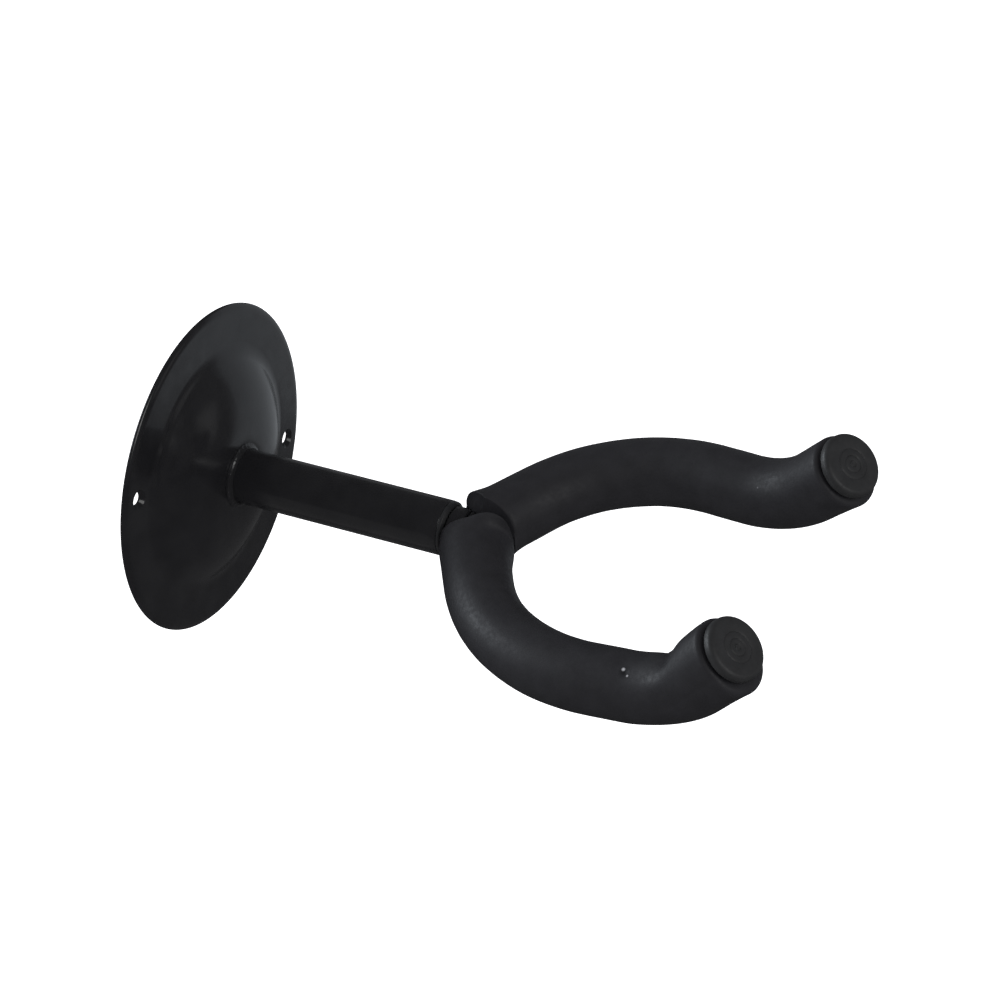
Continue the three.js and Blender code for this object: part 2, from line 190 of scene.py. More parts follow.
def skin(rows, closed):
    """Faces that join rows of vertex numbers into a surface. A row of one vertex is a pole."""
    faces = []
    pairs = list(zip(rows, rows[1:]))
    if closed:
        pairs.append((rows[-1], rows[0]))
    for low, high in pairs:
        count = max(len(low), len(high))
        for j in range(count):
            k = (j + 1) % count
            face = [low[j % len(low)], low[k % len(low)], high[k % len(high)], high[j % len(high)]]
            faces.append(list(dict.fromkeys(face)))
    return faces


def build_mesh(name, points, faces, sharp=SHARP):
    """A smooth-shaded object from points in millimetres, with edges sharper than an angle kept crisp."""
    mesh = bpy.data.meshes.new(name)
    mesh.from_pydata([Vector(p) * MM for p in points], [], faces)
    work = bmesh.new()
    work.from_mesh(mesh)
    bmesh.ops.recalc_face_normals(work, faces=work.faces)
    work.to_mesh(mesh)
    work.free()
    mesh.shade_smooth()
    mesh.set_sharp_from_angle(angle=sharp)
    piece = bpy.data.objects.new(name, mesh)
    bpy.context.scene.collection.objects.link(piece)
    return piece


def turned(name, outline, sides, place=None, wobble=None):
    """A solid turned about the Y axis. An outline that starts on the axis also ends there.
    wobble(radius, reach, angle) may move a point to another radius and reach."""
    place = place or Matrix.Identity(4)
    points = []
    rows = []
    for radius, reach in outline:
        count = sides if radius > 0 else 1
        rows.append(range(len(points), len(points) + count))
        for j in range(count):
            angle = 2 * pi * j / sides
            r, h = wobble(radius, reach, angle) if wobble else (radius, reach)
            points.append(place @ Vector((r * cos(angle), -h, r * sin(angle))))
    return build_mesh(name, points, skin(rows, closed=outline[0][0] > 0))


def cut(piece, *tools):
    """Takes the tools' shapes out of a piece and deletes them."""
    for tool in tools:
        modifier = piece.modifiers.new("cut", "BOOLEAN")
        modifier.operation = "DIFFERENCE"
        modifier.solver = "EXACT"
        modifier.object = tool
    apply_modifiers(piece)
    piece.data.set_sharp_from_angle(angle=SHARP)
    for tool in tools:
        bpy.data.objects.remove(tool)


def apply_modifiers(piece):
    """Turns what the modifiers show into the piece's own mesh."""
    bpy.context.view_layer.update()
    evaluated = piece.evaluated_get(bpy.context.evaluated_depsgraph_get())
    mesh = bpy.data.meshes.new_from_object(evaluated)
    piece.modifiers.clear()
    piece.data = mesh


# ---- Finishes ----

class Finish:
    """A Principled material whose colour, roughness and bump come from textures in object space."""

    def __init__(self, name):
        self.material = bpy.data.materials.new(name)
        self.material.use_nodes = True
        self.nodes = self.material.node_tree.nodes
        self.links = self.material.node_tree.links
        self.shader = self.nodes["Principled BSDF"]
        self.place = self.nodes.new("ShaderNodeTexCoord").outputs["Object"]
        self.height = None

    def set(self, **sockets):
        for name, value in sockets.items():
            self.shader.inputs[name.replace("_", " ")].default_value = value
        return self

    def grain(self, size, detail=2.0, distortion=0.0):
        """Noise with blobs about size millimetres across."""
        node = self.nodes.new("ShaderNodeTexNoise")
        node.inputs["Scale"].default_value = 1 / (size * MM)
        node.inputs["Detail"].default_value = detail
        node.inputs["Distortion"].default_value = distortion
        self.links.new(self.place, node.inputs["Vector"])
        return node.outputs["Fac"]

    def cells(self, size):
        """Voronoi cells about size millimetres across."""
        node = self.nodes.new("ShaderNodeTexVoronoi")
        node.inputs["Scale"].default_value = 1 / (size * MM)
        self.links.new(self.place, node.inputs["Vector"])
        return node.outputs["Distance"]

    def remap(self, value, low, high, start=0.35, end=0.65):
        """Low where the value is at its start, high where it is at its end, and in between between them."""
        node = self.nodes.new("ShaderNodeMapRange")
        node.inputs["From Min"].default_value = start
        node.inputs["From Max"].default_value = end
        node.inputs["To Min"].default_value = low
        node.inputs["To Max"].default_value = high
        self.links.new(value, node.inputs["Value"])
        return node.outputs["Result"]

    def ramp(self, value, *stops):
        """Colour from a value, by (position, (r, g, b)) stops."""
        node = self.nodes.new("ShaderNodeValToRGB")
        elements = node.color_ramp.elements
        while len(elements) < len(stops):
            elements.new(0.5)
        for element, (position, colour) in zip(elements, stops):
            element.position = position
            element.color = (*colour, 1)
        self.links.new(value, node.inputs["Fac"])
        return node.outputs["Color"]

    def near(self, point, size):
        """One at a point, falling to zero at size millimetres from it."""
        node = self.nodes.new("ShaderNodeVectorMath")
        node.operation = "DISTANCE"
        node.inputs[1].default_value = Vector(point) * MM
        self.links.new(self.place, node.inputs[0])
        return self.remap(node.outputs["Value"], 1, 0, 0, size * MM)

    def spot(self, amount, under, colour):
        """A plain colour over what is under it, by an amount."""
        node = self.nodes.new("ShaderNodeMix")
        node.data_type = "RGBA"
        colour_a, colour_b, colour_result = node.inputs[6], node.inputs[7], node.outputs[2]
        self.links.new(amount, node.inputs["Factor"])
        self.links.new(under, colour_a)
        colour_b.default_value = (*colour, 1)
        return colour_result

    def colour(self, value):
        self.links.new(value, self.shader.inputs["Base Color"])
        return self

    def roughness(self, value):
        self.links.new(value, self.shader.inputs["Roughness"])
        return self

    def bump(self, height, depth):
        """Adds a bump of a depth in millimetres; bumps stack."""
        node = self.nodes.new("ShaderNodeBump")
        node.inputs["Strength"].default_value = 1
        node.inputs["Distance"].default_value = depth * MM
        self.links.new(height, node.inputs["Height"])
        if self.height:
            self.links.new(self.height, node.inputs["Normal"])
        self.height = node.outputs["Normal"]
        self.links.new(self.height, self.shader.inputs["Normal"])
        return self


def gloss_black_paint():
    """Powder coat: near black, glossy, with a fine orange peel and faint cloudiness."""
    finish = Finish("gloss_black_paint").set(IOR=1.5)
    cloud = finish.grain(9)
    finish.colour(finish.ramp(cloud, (0.35, (0.0095, 0.0095, 0.0105)), (0.65, (0.0125, 0.0125, 0.0135))))
    finish.roughness(finish.remap(finish.grain(4), 0.15, 0.21))
    finish.bump(finish.grain(3.5, detail=1), 0.008)
    return finish.material


def black_nylon():
    """Moulded satin nylon, a little greyer than the paint."""
    finish = Finish("black_nylon").set(IOR=1.5)
    cloud = finish.grain(2)
    finish.colour(finish.ramp(cloud, (0.3, (0.014, 0.0145, 0.0155)), (0.7, (0.019, 0.0195, 0.0205))))
    finish.roughness(finish.remap(finish.grain(0.8), 0.36, 0.5))
    finish.bump(finish.grain(0.15), 0.004)
    return finish.material


def zinc_steel():
    """Bright zinc plate, from bluish to slightly yellow."""
    finish = Finish("zinc_steel").set(Metallic=1.0)
    tint = finish.grain(3, distortion=1.5)
    bluish, plain, yellowish = (0.50, 0.52, 0.56), (0.60, 0.60, 0.60), (0.58, 0.55, 0.48)
    finish.colour(finish.ramp(tint, (0.3, bluish), (0.55, plain), (0.75, yellowish)))
    finish.roughness(finish.remap(finish.grain(0.7), 0.26, 0.42))
    finish.bump(finish.grain(0.25), 0.004)
    return finish.material


def white_nylon():
    """Natural nylon of the lock nut's ring."""
    finish = Finish("white_nylon").set(IOR=1.5, Subsurface_Weight=0.1)
    finish.colour(finish.ramp(finish.grain(1.5), (0.3, (0.66, 0.66, 0.61)), (0.7, (0.75, 0.75, 0.71))))
    finish.roughness(finish.remap(finish.grain(0.5), 0.4, 0.55))
    finish.bump(finish.grain(0.2), 0.003)
    return finish.material


def charcoal_foam():
    """Closed-cell foam with a thin satin skin: fine cells and faint mottling, with a painted shadow and two
    painted glints at the nick and a painted highlight speck on the right sleeve.
    """
    finish = Finish("charcoal_foam").set(IOR=1.45, Specular_IOR_Level=0.4)
    mottle = finish.grain(5, detail=4)
    colour = finish.ramp(mottle, (0.3, (0.0168, 0.0166, 0.0193)), (0.7, (0.0208, 0.0206, 0.0238)))
    distance, angle = NICK
    slant = 0.085
    # painted shadow: a dark spot round the nick, standing in for the shade that falls into it
    colour = finish.spot(finish.near(skin_point(distance, angle, -1), 2.2), colour, (0.006, 0.006, 0.008))
    # painted glints: two bright flecks along the nick, standing in for light catching its edges
    for along, size in ((-1.0, 0.65), (1.1, 0.45)):
        glint_point = skin_point(distance + along, angle + slant * along, -1)
        colour = finish.spot(finish.near(glint_point, size), colour, (0.60, 0.60, 0.62))
    # painted highlight: a light speck on the right sleeve's tip, standing in for a glint of sheen
    colour = finish.spot(finish.near(skin_point(*SHEEN_SPECK, 1), 0.35), colour, (0.14, 0.14, 0.15))
    finish.colour(colour)
    finish.roughness(finish.remap(finish.grain(1.2), 0.5, 0.62))
    finish.bump(finish.grain(1.6), 0.03)
    finish.bump(finish.cells(0.35), 0.012)
    return finish.material


def cap_rubber():
    """Moulded rubber, matter and a little lighter than the foam's skin."""
    finish = Finish("cap_rubber").set(IOR=1.5)
    cloud = finish.grain(3, detail=4)
    finish.colour(finish.ramp(cloud, (0.3, (0.0180, 0.0184, 0.0192)), (0.7, (0.0228, 0.0232, 0.0242))))
    finish.roughness(finish.remap(finish.grain(0.9), 0.45, 0.6))
    finish.bump(finish.grain(0.12), 0.006)
    return finish.material


def fit(piece, body, slot, *nodes):
    """Gives a piece its finish, and says what it rides on and which CAD nodes it stands for."""
    piece.data.materials.clear()
    piece.data.materials.append(finishes[slot])
    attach(piece, body)
    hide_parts(*nodes)
    return piece


# ---- Wall plate ----

def dome_front(steps):
    """Front of the dome from its flat top out to the flange: a crown arc, then a hollow foot arc."""
    foot_centre = (FLANGE_INNER_RADIUS, SHEET + DOME_FOOT_RADIUS)
    foot_top = (
        foot_centre[0] - DOME_FOOT_RADIUS * sin(DOME_FLANK_ANGLE),
        foot_centre[1] - DOME_FOOT_RADIUS * cos(DOME_FLANK_ANGLE),
    )
    across = foot_top[0] - DOME_TOP_RADIUS
    rise = DOME_REACH - foot_top[1]
    top_angle = 2 * atan2(rise, across) - DOME_FLANK_ANGLE
    crown_radius = hypot(across, rise) / (2 * sin((DOME_FLANK_ANGLE - top_angle) / 2))
    crown_centre = (
        foot_top[0] - crown_radius * sin(DOME_FLANK_ANGLE),
        foot_top[1] - crown_radius * cos(DOME_FLANK_ANGLE),
    )
    crown = arc(crown_centre, crown_radius, pi / 2 - top_angle, pi / 2 - DOME_FLANK_ANGLE, steps)
    foot = arc(foot_centre, DOME_FOOT_RADIUS, -pi / 2 - DOME_FLANK_ANGLE, -pi / 2, steps)
    return crown + foot[1:]


def screw_hole_tool(x):
    """The empty space of a countersunk hole, a little longer than the sheet is thick."""
    past = 1
    outline = [
        (0, -past),
        (SCREW_HOLE_RADIUS, -past),
        (SCREW_HOLE_RADIUS, SHEET - (COUNTERSINK_RADIUS - SCREW_HOLE_RADIUS)),
        (COUNTERSINK_RADIUS, SHEET),
        (COUNTERSINK_RADIUS + past, SHEET + past),
        (0, SHEET + past),
    ]
    return turned("screw_hole_tool", outline, 64, Matrix.Translation((x, 0, 0)))


def flange_lean(radius):
    """The flange stands a little further out at the dome's foot than at the rim."""
    outward = (PLATE_RADIUS - SHEET / 2 - radius) / (PLATE_RADIUS - SHEET / 2 - FLANGE_INNER_RADIUS)
    inward = (radius - DOME_TOP_RADIUS) / (FLANGE_INNER_RADIUS - DOME_TOP_RADIUS)
    return FLANGE_FALL * max(0, min(outward, inward))


def wall_plate():
    """Pressed sheet with a domed middle, a rounded rim and two countersunk holes."""
    front = dome_front(20)
    back = [(radius, reach - SHEET) for radius, reach in front]
    edge = 0.45
    roll = 2.4
    roll_steps = 10
    angles = [pi / 2 * i / roll_steps for i in range(roll_steps)]
    rim = [(PLATE_RADIUS - roll * (1 - sin(a)), edge + (SHEET - edge) * cos(a)) for a in angles]
    rim += arc((PLATE_RADIUS - edge, edge), edge, 0, -pi / 2, 6)
    centre_hole = BORE_RADIUS + GAP / 2
    outline = [(centre_hole, DOME_REACH), *front, *rim, *reversed(back), (centre_hole, LAND_UNDERSIDE)]
    outline = [(radius, reach + flange_lean(radius)) for radius, reach in refine(outline, 1.5)]
    piece = turned("wall_plate_shell", outline, 192)
    cut(piece, screw_hole_tool(SCREW_CIRCLE_RADIUS), screw_hole_tool(-SCREW_CIRCLE_RADIUS))
    return fit(piece, FIXED, "gloss_black_paint", "wall_plate")


# ---- Neck tube ----

def neck_tube():
    """Plain tube with a slightly rounded end."""
    foot = DOME_REACH + 0.05
    outline = soften([
        (BORE_RADIUS, foot, 0),
        (TUBE_RADIUS, foot, 0),
        (TUBE_RADIUS, TUBE_END_REACH, 0.3),
        (BORE_RADIUS, TUBE_END_REACH, 0.2),
    ])
    piece = turned("neck_tube_skin", refine(outline, 3), 128)
    return fit(piece, FIXED, "gloss_black_paint", "neck_tube")


def plate_weld():
    """Fillet weld round the foot of the tube: a hollow bead with overlapping ripples."""
    size = 1.5
    ripples = 34
    ripple_height = 0.16
    inner = TUBE_RADIUS - 0.1
    base = DOME_REACH - 0.1
    toe = 0.15
    hollow = arc((TUBE_RADIUS + size, DOME_REACH + size), size - toe, pi, 1.5 * pi, 10)
    outline = [(inner, base), (inner, base + size), *hollow, (TUBE_RADIUS + size, base)]
    middle = (TUBE_RADIUS + size / 2, DOME_REACH + size / 2)

    def ripple(radius, reach, angle):
        across = hypot(radius - middle[0], reach - middle[1]) / size
        phase = (ripples * angle / (2 * pi) + 0.5 * across + 0.2 * sin(5 * angle)) % 1
        swell = ripple_height * (1 - phase) * max(0, 1 - across)
        return radius + swell, reach + swell

    piece = turned("plate_weld_bead", outline, 340, wobble=ripple)
    return fit(piece, FIXED, "gloss_black_paint", "plate_weld")


# ---- Swivel ----

def front_bush():
    """Barrel in the tube's mouth with a flange that tapers from the tube's edge to the spindle's head."""
    low = TUBE_END_REACH + GAP
    high = low + FRONT_FLANGE
    inner = SHANK_RADIUS + RUN
    outer = TUBE_RADIUS - 0.1
    taper = 0.7
    outline = soften([
        (inner, low - BUSH_LENGTH, 0.1),
        (BUSH_RADIUS, low - BUSH_LENGTH, 0.3),
        (BUSH_RADIUS, low - GAP, 0),
        (outer, low - GAP, 0.1),
        (outer, high - taper, 0.4),
        (HEAD_RADIUS + 0.1, high, 0.3),
        (inner, high, 0.1),
    ])
    piece = turned("front_bush_flange", refine(outline, 2), 96)
    return fit(piece, FIXED, "black_nylon", "front_bush")


def rear_bush():
    """The same kind of bush behind the dome, with a flat flange."""
    high = LAND_UNDERSIDE - GAP
    inner = SHANK_RADIUS + RUN
    outline = soften([
        (inner, REAR_FLANGE_LOW, 0.1),
        (REAR_FLANGE_RADIUS, REAR_FLANGE_LOW, 0.2),
        (REAR_FLANGE_RADIUS, high, 0.1),
        (BUSH_RADIUS, high, 0.1),
        (BUSH_RADIUS, high + BUSH_LENGTH, 0.3),
        (inner, high + BUSH_LENGTH, 0.1),
    ])
    piece = turned("rear_bush_flange", refine(outline, 2), 96)
    return fit(piece, FIXED, "black_nylon", "rear_bush")


def wave_washer():
    """Spring washer with three waves round it."""
    half = WAVE_SHEET / 2
    fillet = 0.06
    outline = soften([
        (SHANK_RADIUS + GAP, WAVE_MIDDLE - half, fillet),
        (WAVE_RADIUS, WAVE_MIDDLE - half, fillet),
        (WAVE_RADIUS, WAVE_MIDDLE + half, fillet),
        (SHANK_RADIUS + GAP, WAVE_MIDDLE + half, fillet),
    ], steps=2)

    def waves(radius, reach, angle):
        return radius, reach + WAVE_HEIGHT * cos(3 * angle)

    piece = turned("wave_washer_spring", refine(outline, 0.7), 144, wobble=waves)
    return fit(piece, FIXED, "zinc_steel", "wave_washer")


def flat_washer():
    """Plain washer under the nut, which turns with the spindle."""
    outline = soften([
        (TAIL_RADIUS + GAP, WASHER_LOW, 0.08),
        (WASHER_RADIUS, WASHER_LOW, 0.25),
        (WASHER_RADIUS, WASHER_HIGH, 0.1),
        (TAIL_RADIUS + GAP, WASHER_HIGH, 0.08),
    ])
    piece = turned("flat_washer_disc", refine(outline, 1), 96, SWIVEL)
    return fit(piece, MOVING, "zinc_steel", "flat_washer")


def lock_nut():
    """Hexagon with chamfered corners and a round collar: the flats narrow the radius by the angle."""
    corner = NUT_HALF_FLATS / cos(pi / 6)
    bore = TAIL_RADIUS + 0.12
    outline = soften([
        (bore, NUT_HIGH, 0.15),
        (corner - 0.5, NUT_HIGH, 0.05),
        (corner, NUT_HIGH - 0.3, 0.05),
        (corner, COLLAR_HIGH + 0.5, 0.05),
        (NUT_HALF_FLATS - 0.1, COLLAR_HIGH, 0.1),
        (NUT_HALF_FLATS - 0.3, NUT_LOW + 0.1, 0.3),
        (COLLAR_GROOVE_RADIUS, NUT_LOW, 0.1),
        (COLLAR_GROOVE_RADIUS, COLLAR_HIGH, 0.1),
        (bore, COLLAR_HIGH, 0.1),
    ])

    def flats(radius, reach, angle):
        off_flat = (angle + pi / 6) % (pi / 3) - pi / 6
        return min(radius, NUT_HALF_FLATS / cos(off_flat)), reach

    piece = turned("lock_nut_hexagon", refine(outline, 0.5), 180, SWIVEL, flats)
    return fit(piece, MOVING, "zinc_steel", "lock_nut")


def nut_insert():
    """The ring in the nut's collar that grips the thread."""
    inner = TAIL_RADIUS + 0.05
    outer = COLLAR_GROOVE_RADIUS - 0.05
    low = NUT_LOW + 0.4
    high = COLLAR_HIGH - 0.05
    outline = soften([
        (inner, low, 0.25),
        (outer, low, 0.1),
        (outer, high, 0.05),
        (inner, high, 0.05),
    ])
    piece = turned("nut_insert_ring", refine(outline, 0.5), 96, SWIVEL)
    return fit(piece, MOVING, "white_nylon", "nut_insert")


def swivel_spindle():
    """Head with a saddle for the rod, a plain shank and a tail with a rolled M6 thread."""
    pitch = 1.0
    thread_depth = 0.5
    head_edge = 0.5
    head_low = TUBE_END_REACH + GAP + FRONT_FLANGE + RUN
    shank_low = WASHER_HIGH + GAP / 2
    thread_start = TAIL_END_REACH + 0.6
    thread_step = pitch / 10
    thread_points = 58
    tail = [(TAIL_RADIUS, thread_start + thread_step * i) for i in range(thread_points)]
    outline = [
        (0, TAIL_END_REACH),
        (TAIL_RADIUS - 0.7, TAIL_END_REACH),
        *tail,
        (SHANK_RADIUS - 0.6, shank_low),
        (SHANK_RADIUS, shank_low + 0.6),
        (SHANK_RADIUS, head_low),
        (HEAD_RADIUS - 0.3, head_low),
        (HEAD_RADIUS, head_low + 0.3),
        *arc((HEAD_RADIUS - head_edge, HEAD_END_REACH - head_edge), head_edge, 0, pi / 2, 4),
        (0, HEAD_END_REACH),
    ]

    def thread(radius, reach, angle):
        if radius != TAIL_RADIUS:
            return radius, reach
        turn = (reach / pitch - angle / (2 * pi)) % 1
        return radius - thread_depth * (1 - abs(2 * turn - 1)) ** 1.2, reach

    piece = turned("swivel_spindle_pin", outline, 96, SWIVEL, thread)
    saddle_tool = rod_bar("saddle_tool", CROTCH_HALF + 4, ROD_RADIUS + 0.05, sides=64, step=0.7)
    cut(piece, saddle_tool)
    return fit(piece, MOVING, "gloss_black_paint", "swivel_spindle")


# ---- Yoke ----

def along_arm(distance):
    """Centre and heading of the right arm at a distance from the end of the crotch bend."""
    heading = Vector((cos(LEG_ANGLE), -sin(LEG_ANGLE), 0))
    centre = heading * CROTCH_TANGENT
    left = distance
    for index, (length, turn, rises) in enumerate(ARM_STRETCHES):
        last = index == len(ARM_STRETCHES) - 1
        step = left if last else min(left, length)
        axis = heading.cross(UP).normalized() if rises else DOWN
        angle = turn * step / length
        aside = axis.cross(heading)
        if turn:
            radius = length / turn
            centre = centre + heading * (radius * sin(angle)) + aside * (radius * (1 - cos(angle)))
            heading = heading * cos(angle) + aside * sin(angle)
        else:
            centre = centre + heading * step
        left -= step
        if left <= 0:
            break
    return centre, heading


def round_crotch(distance):
    """Centre and heading on the bend at the rod's middle, at a distance below zero."""
    angle = (CROTCH_HALF + distance) / CROTCH_RADIUS
    centre = Vector((sin(angle), cos(angle) - 1 / cos(LEG_ANGLE), 0)) * CROTCH_RADIUS
    return centre, Vector((cos(angle), -sin(angle), 0))


def arm_section(distance, side):
    """Centre, inward and up of an arm's section. Inward points to the gap between the arms.
    The two tips aren't bent quite alike."""
    centre, heading = along_arm(distance) if distance > 0 else round_crotch(distance)
    bend_start = ARM_SPAN - TIP_LENGTH - TIP_RADIUS * TIP_ANGLE
    centre.z -= TIP_SAG[side] * smooth_step((distance - bend_start) / (ARM_SPAN - bend_start))
    inward = heading.cross(UP).normalized()
    up = inward.cross(heading)
    return [Vector((side * v.x, v.y, v.z)) for v in (centre, inward, up)]


def smooth_step(value):
    """Zero below zero, one above one, and a soft slope between."""
    value = min(1, max(0, value))
    return value * value * (3 - 2 * value)


def rod_section(distance):
    """A section of the rod, at a distance from its middle; below zero is the left arm."""
    side = 1 if distance >= 0 else -1
    centre, across, up = arm_section(abs(distance) - CROTCH_HALF, side)
    return centre, across * side, up


def rod_bar(name, half, radius, sides, step, edge=0.0):
    """A round bar along the rod's line, reaching half its length each way from the middle."""
    insets = [edge * (1 - cos(pi / 2 * i / 4)) for i in range(5)] if edge else [0]
    count = round(2 * (half - edge) / step)
    middle = [-half + edge + 2 * (half - edge) * i / count for i in range(1, count)]
    distances = [inset - half for inset in insets] + middle + [half - inset for inset in reversed(insets)]
    points = [YOKE @ rod_section(-half)[0]]
    loops = [range(1)]
    for distance in distances:
        centre, across, up = rod_section(distance)
        short = max(0, edge - (half - abs(distance)))
        size = radius - edge + sqrt(edge ** 2 - short ** 2)
        loops.append(range(len(points), len(points) + sides))
        for j in range(sides):
            angle = 2 * pi * j / sides
            points.append(YOKE @ (centre + (across * cos(angle) + up * sin(angle)) * size))
    loops.append(range(len(points), len(points) + 1))
    points.append(YOKE @ rod_section(half)[0])
    return build_mesh(name, points, skin(loops, closed=False))


def yoke_rod():
    """The bent rod from cap to cap."""
    piece = rod_bar("yoke_rod_bar", CROTCH_HALF + ROD_END, ROD_RADIUS, sides=48, step=1.0, edge=0.4)
    return fit(piece, MOVING, "gloss_black_paint", "yoke_rod")


def saddle_weld(side, label):
    """Rippled bead between the edge of the spindle's saddle and the rod."""
    bead_radius = 1.0
    half_length = 2.4
    ripples = 6
    ripple_height = 0.07
    reach = HEAD_END_REACH + 0.9
    height = sqrt((ROD_RADIUS + 0.75) ** 2 - (CROTCH_APEX - reach) ** 2)
    points = []
    loops = []
    steps = 40
    sides = 20
    for i in range(steps + 1):
        along = -1 + 2 * i / steps
        size = bead_radius * sqrt(max(0, 1 - abs(along) ** 4))
        size *= 1 + ripple_height * cos(pi * ripples * along)
        count = sides if 0 < i < steps else 1
        loops.append(range(len(points), len(points) + count))
        for j in range(count):
            angle = 2 * pi * j / sides
            x = along * (half_length + bead_radius)
            point = Vector((x, -reach + size * cos(angle), side * height + size * sin(angle)))
            points.append(SWIVEL @ point)
    piece = build_mesh(f"saddle_bead_{label}", points, skin(loops, closed=False))
    return fit(piece, MOVING, "gloss_black_paint", f"saddle_weld_{label}")


# ---- Foam sleeves ----

INNER_OVERHANG = {-1: 3.6, 1: 4.5}  # how much further back each sleeve reaches on its inner side
BORE_OVERHANG = {-1: 0, 1: 2.4}  # how much further back each sleeve reaches close to the rod
CONTACT_LEAN = 0.35  # the face where the sleeves press on each other leans to the right arm
FOLD_TOP = 96.4  # where the fold crosses the top of the left sleeve
NICK = (81, radians(113))  # distance and angle of a small nick in the left sleeve
SHEEN_SPECK = (86.7, radians(48))  # distance and angle of a painted highlight speck on the right sleeve


def foam_sleeve(side, label):
    """Foam tube pushed on over the arm. It starts beside the spindle's head and presses on the other one."""
    inner = ROD_RADIUS + 0.15
    start = FOAM_START[side]
    outline = refine(soften([
        (inner, start, 0.3),
        (FOAM_RADIUS, start, 0.35),
        (FOAM_RADIUS, FOAM_END, 1.6),
        (inner, FOAM_END, 0.4),
    ], steps=6), 0.8)
    sides = 112
    points = []
    loops = []
    for radius, distance in outline:
        loops.append(range(len(points), len(points) + sides))
        near_start = start_share(distance, side)
        outward = smooth_step((radius - inner) / (FOAM_RADIUS - inner))
        for j in range(sides):
            angle = 2 * pi * j / sides
            further_back = INNER_OVERHANG[side] * max(0, cos(angle)) + BORE_OVERHANG[side] * (1 - outward)
            further_back *= near_start
            centre, inward, up = arm_section(distance - further_back, side)
            spoke = inward * cos(angle) + up * sin(angle)
            size = radius + outward * sleeve_relief(distance, angle, side)
            size += outward * squeeze(centre + spoke * radius, side)
            points.append(YOKE @ clear_of_neck(clear_of_twin(centre + spoke * size, side)))
    piece = build_mesh(f"foam_sleeve_{label}_skin", points, skin(loops, closed=True), sharp=radians(60))
    fit(piece, MOVING, "charcoal_foam", f"foam_sleeve_{label}")
    return piece


def start_share(distance, side):
    """One at the start of a sleeve, falling to zero a short way along it."""
    fading = 5
    return smooth_step((FOAM_START[side] + fading - distance) / fading)


def to_contact(point, side):
    """Distance of a point on an arm's own side from the face where the sleeves meet."""
    return side * (point.x - CONTACT_LEAN * point.z)


def squeeze(point, side):
    """The foam swells beside the face where the two sleeves press on each other."""
    swell = 1.6
    reach = 5.5
    return swell * exp(-((max(0, to_contact(point, side)) / reach) ** 2))


def clear_of_twin(point, side):
    """A point past the face where the sleeves meet is brought back to it."""
    short = GAP / 6 - to_contact(point, side)
    if short > 0:
        point.x += side * short
    return point


def clear_of_neck(point):
    """The foam's end is pressed flat before the bush's flange, and pushed out round the spindle's head."""
    flange_face = YOKE_REACH - TUBE_END_REACH - GAP - FRONT_FLANGE - GAP
    head_face = YOKE_REACH - HEAD_END_REACH - GAP
    flange_zone = TUBE_RADIUS + 1.5
    head_clear = HEAD_RADIUS + 0.1
    away = hypot(point.x, point.z)
    if away < flange_zone:
        point.y = min(point.y, flange_face)
    if point.y > head_face and away < head_clear:
        point.x *= head_clear / away
        point.z *= head_clear / away
    return point


def bell(value, middle, width):
    """One at the middle, falling off smoothly to both sides."""
    return exp(-((value - middle) / width) ** 2)


def sleeve_relief(distance, angle, side):
    """How far the sleeve's skin stands out from its plain round shape, in millimetres."""
    where = Vector((distance / 14, 1.3 * cos(angle), 1.3 * sin(angle) + 5 * side))
    relief = 0.1 * noise.noise(where) + 0.03 * noise.noise(where * 4)
    inner_side = max(0, cos(angle))
    underside = max(0, -sin(angle))
    near_start = start_share(distance, side)

    flare_length = 24
    flare = 0.15 + 0.95 * underside
    relief += flare * max(0, (distance - FOAM_END + flare_length) / flare_length) ** 2
    relief += 0.35 * underside * smooth_step((distance - 50) / 30)
    relief -= 0.35 * inner_side * bell(distance, 28, 16)
    if side > 0:
        return relief + near_start * 0.2

    shoulder = bell(degrees(angle), 52, 28)
    relief += near_start * (2.6 * shoulder - 0.1)
    relief += 1.2 * underside * smooth_step((distance - 82) / 18)
    relief -= 0.35 * bell(distance, NICK[0], 1.0) * bell(angle, NICK[1], 0.07)
    return relief + tip_fold(distance, degrees(angle))


def tip_fold(distance, angle):
    """The fold inside the bend of the left tip, across its top and down its outer flank; angle in degrees."""
    past_top = angle - 90
    line = FOLD_TOP - 0.0025 * past_top ** 2
    across = distance - line
    middle = 96
    fade = bell(angle, middle, 28 if angle > middle else 75)
    softness = 0.3 + 0.1 * max(0, past_top)
    crease = -2.4 * exp(-hypot(across, softness) / 5)
    swell = 0.5 * smooth_step(across / 9)
    return fade * (crease + swell)


def skin_point(distance, angle, side):
    """A point on a sleeve's skin, where the object stands at rest."""
    centre, inward, up = arm_section(distance, side)
    return YOKE @ (centre + (inward * cos(angle) + up * sin(angle)) * FOAM_RADIUS)


# ---- End caps ----

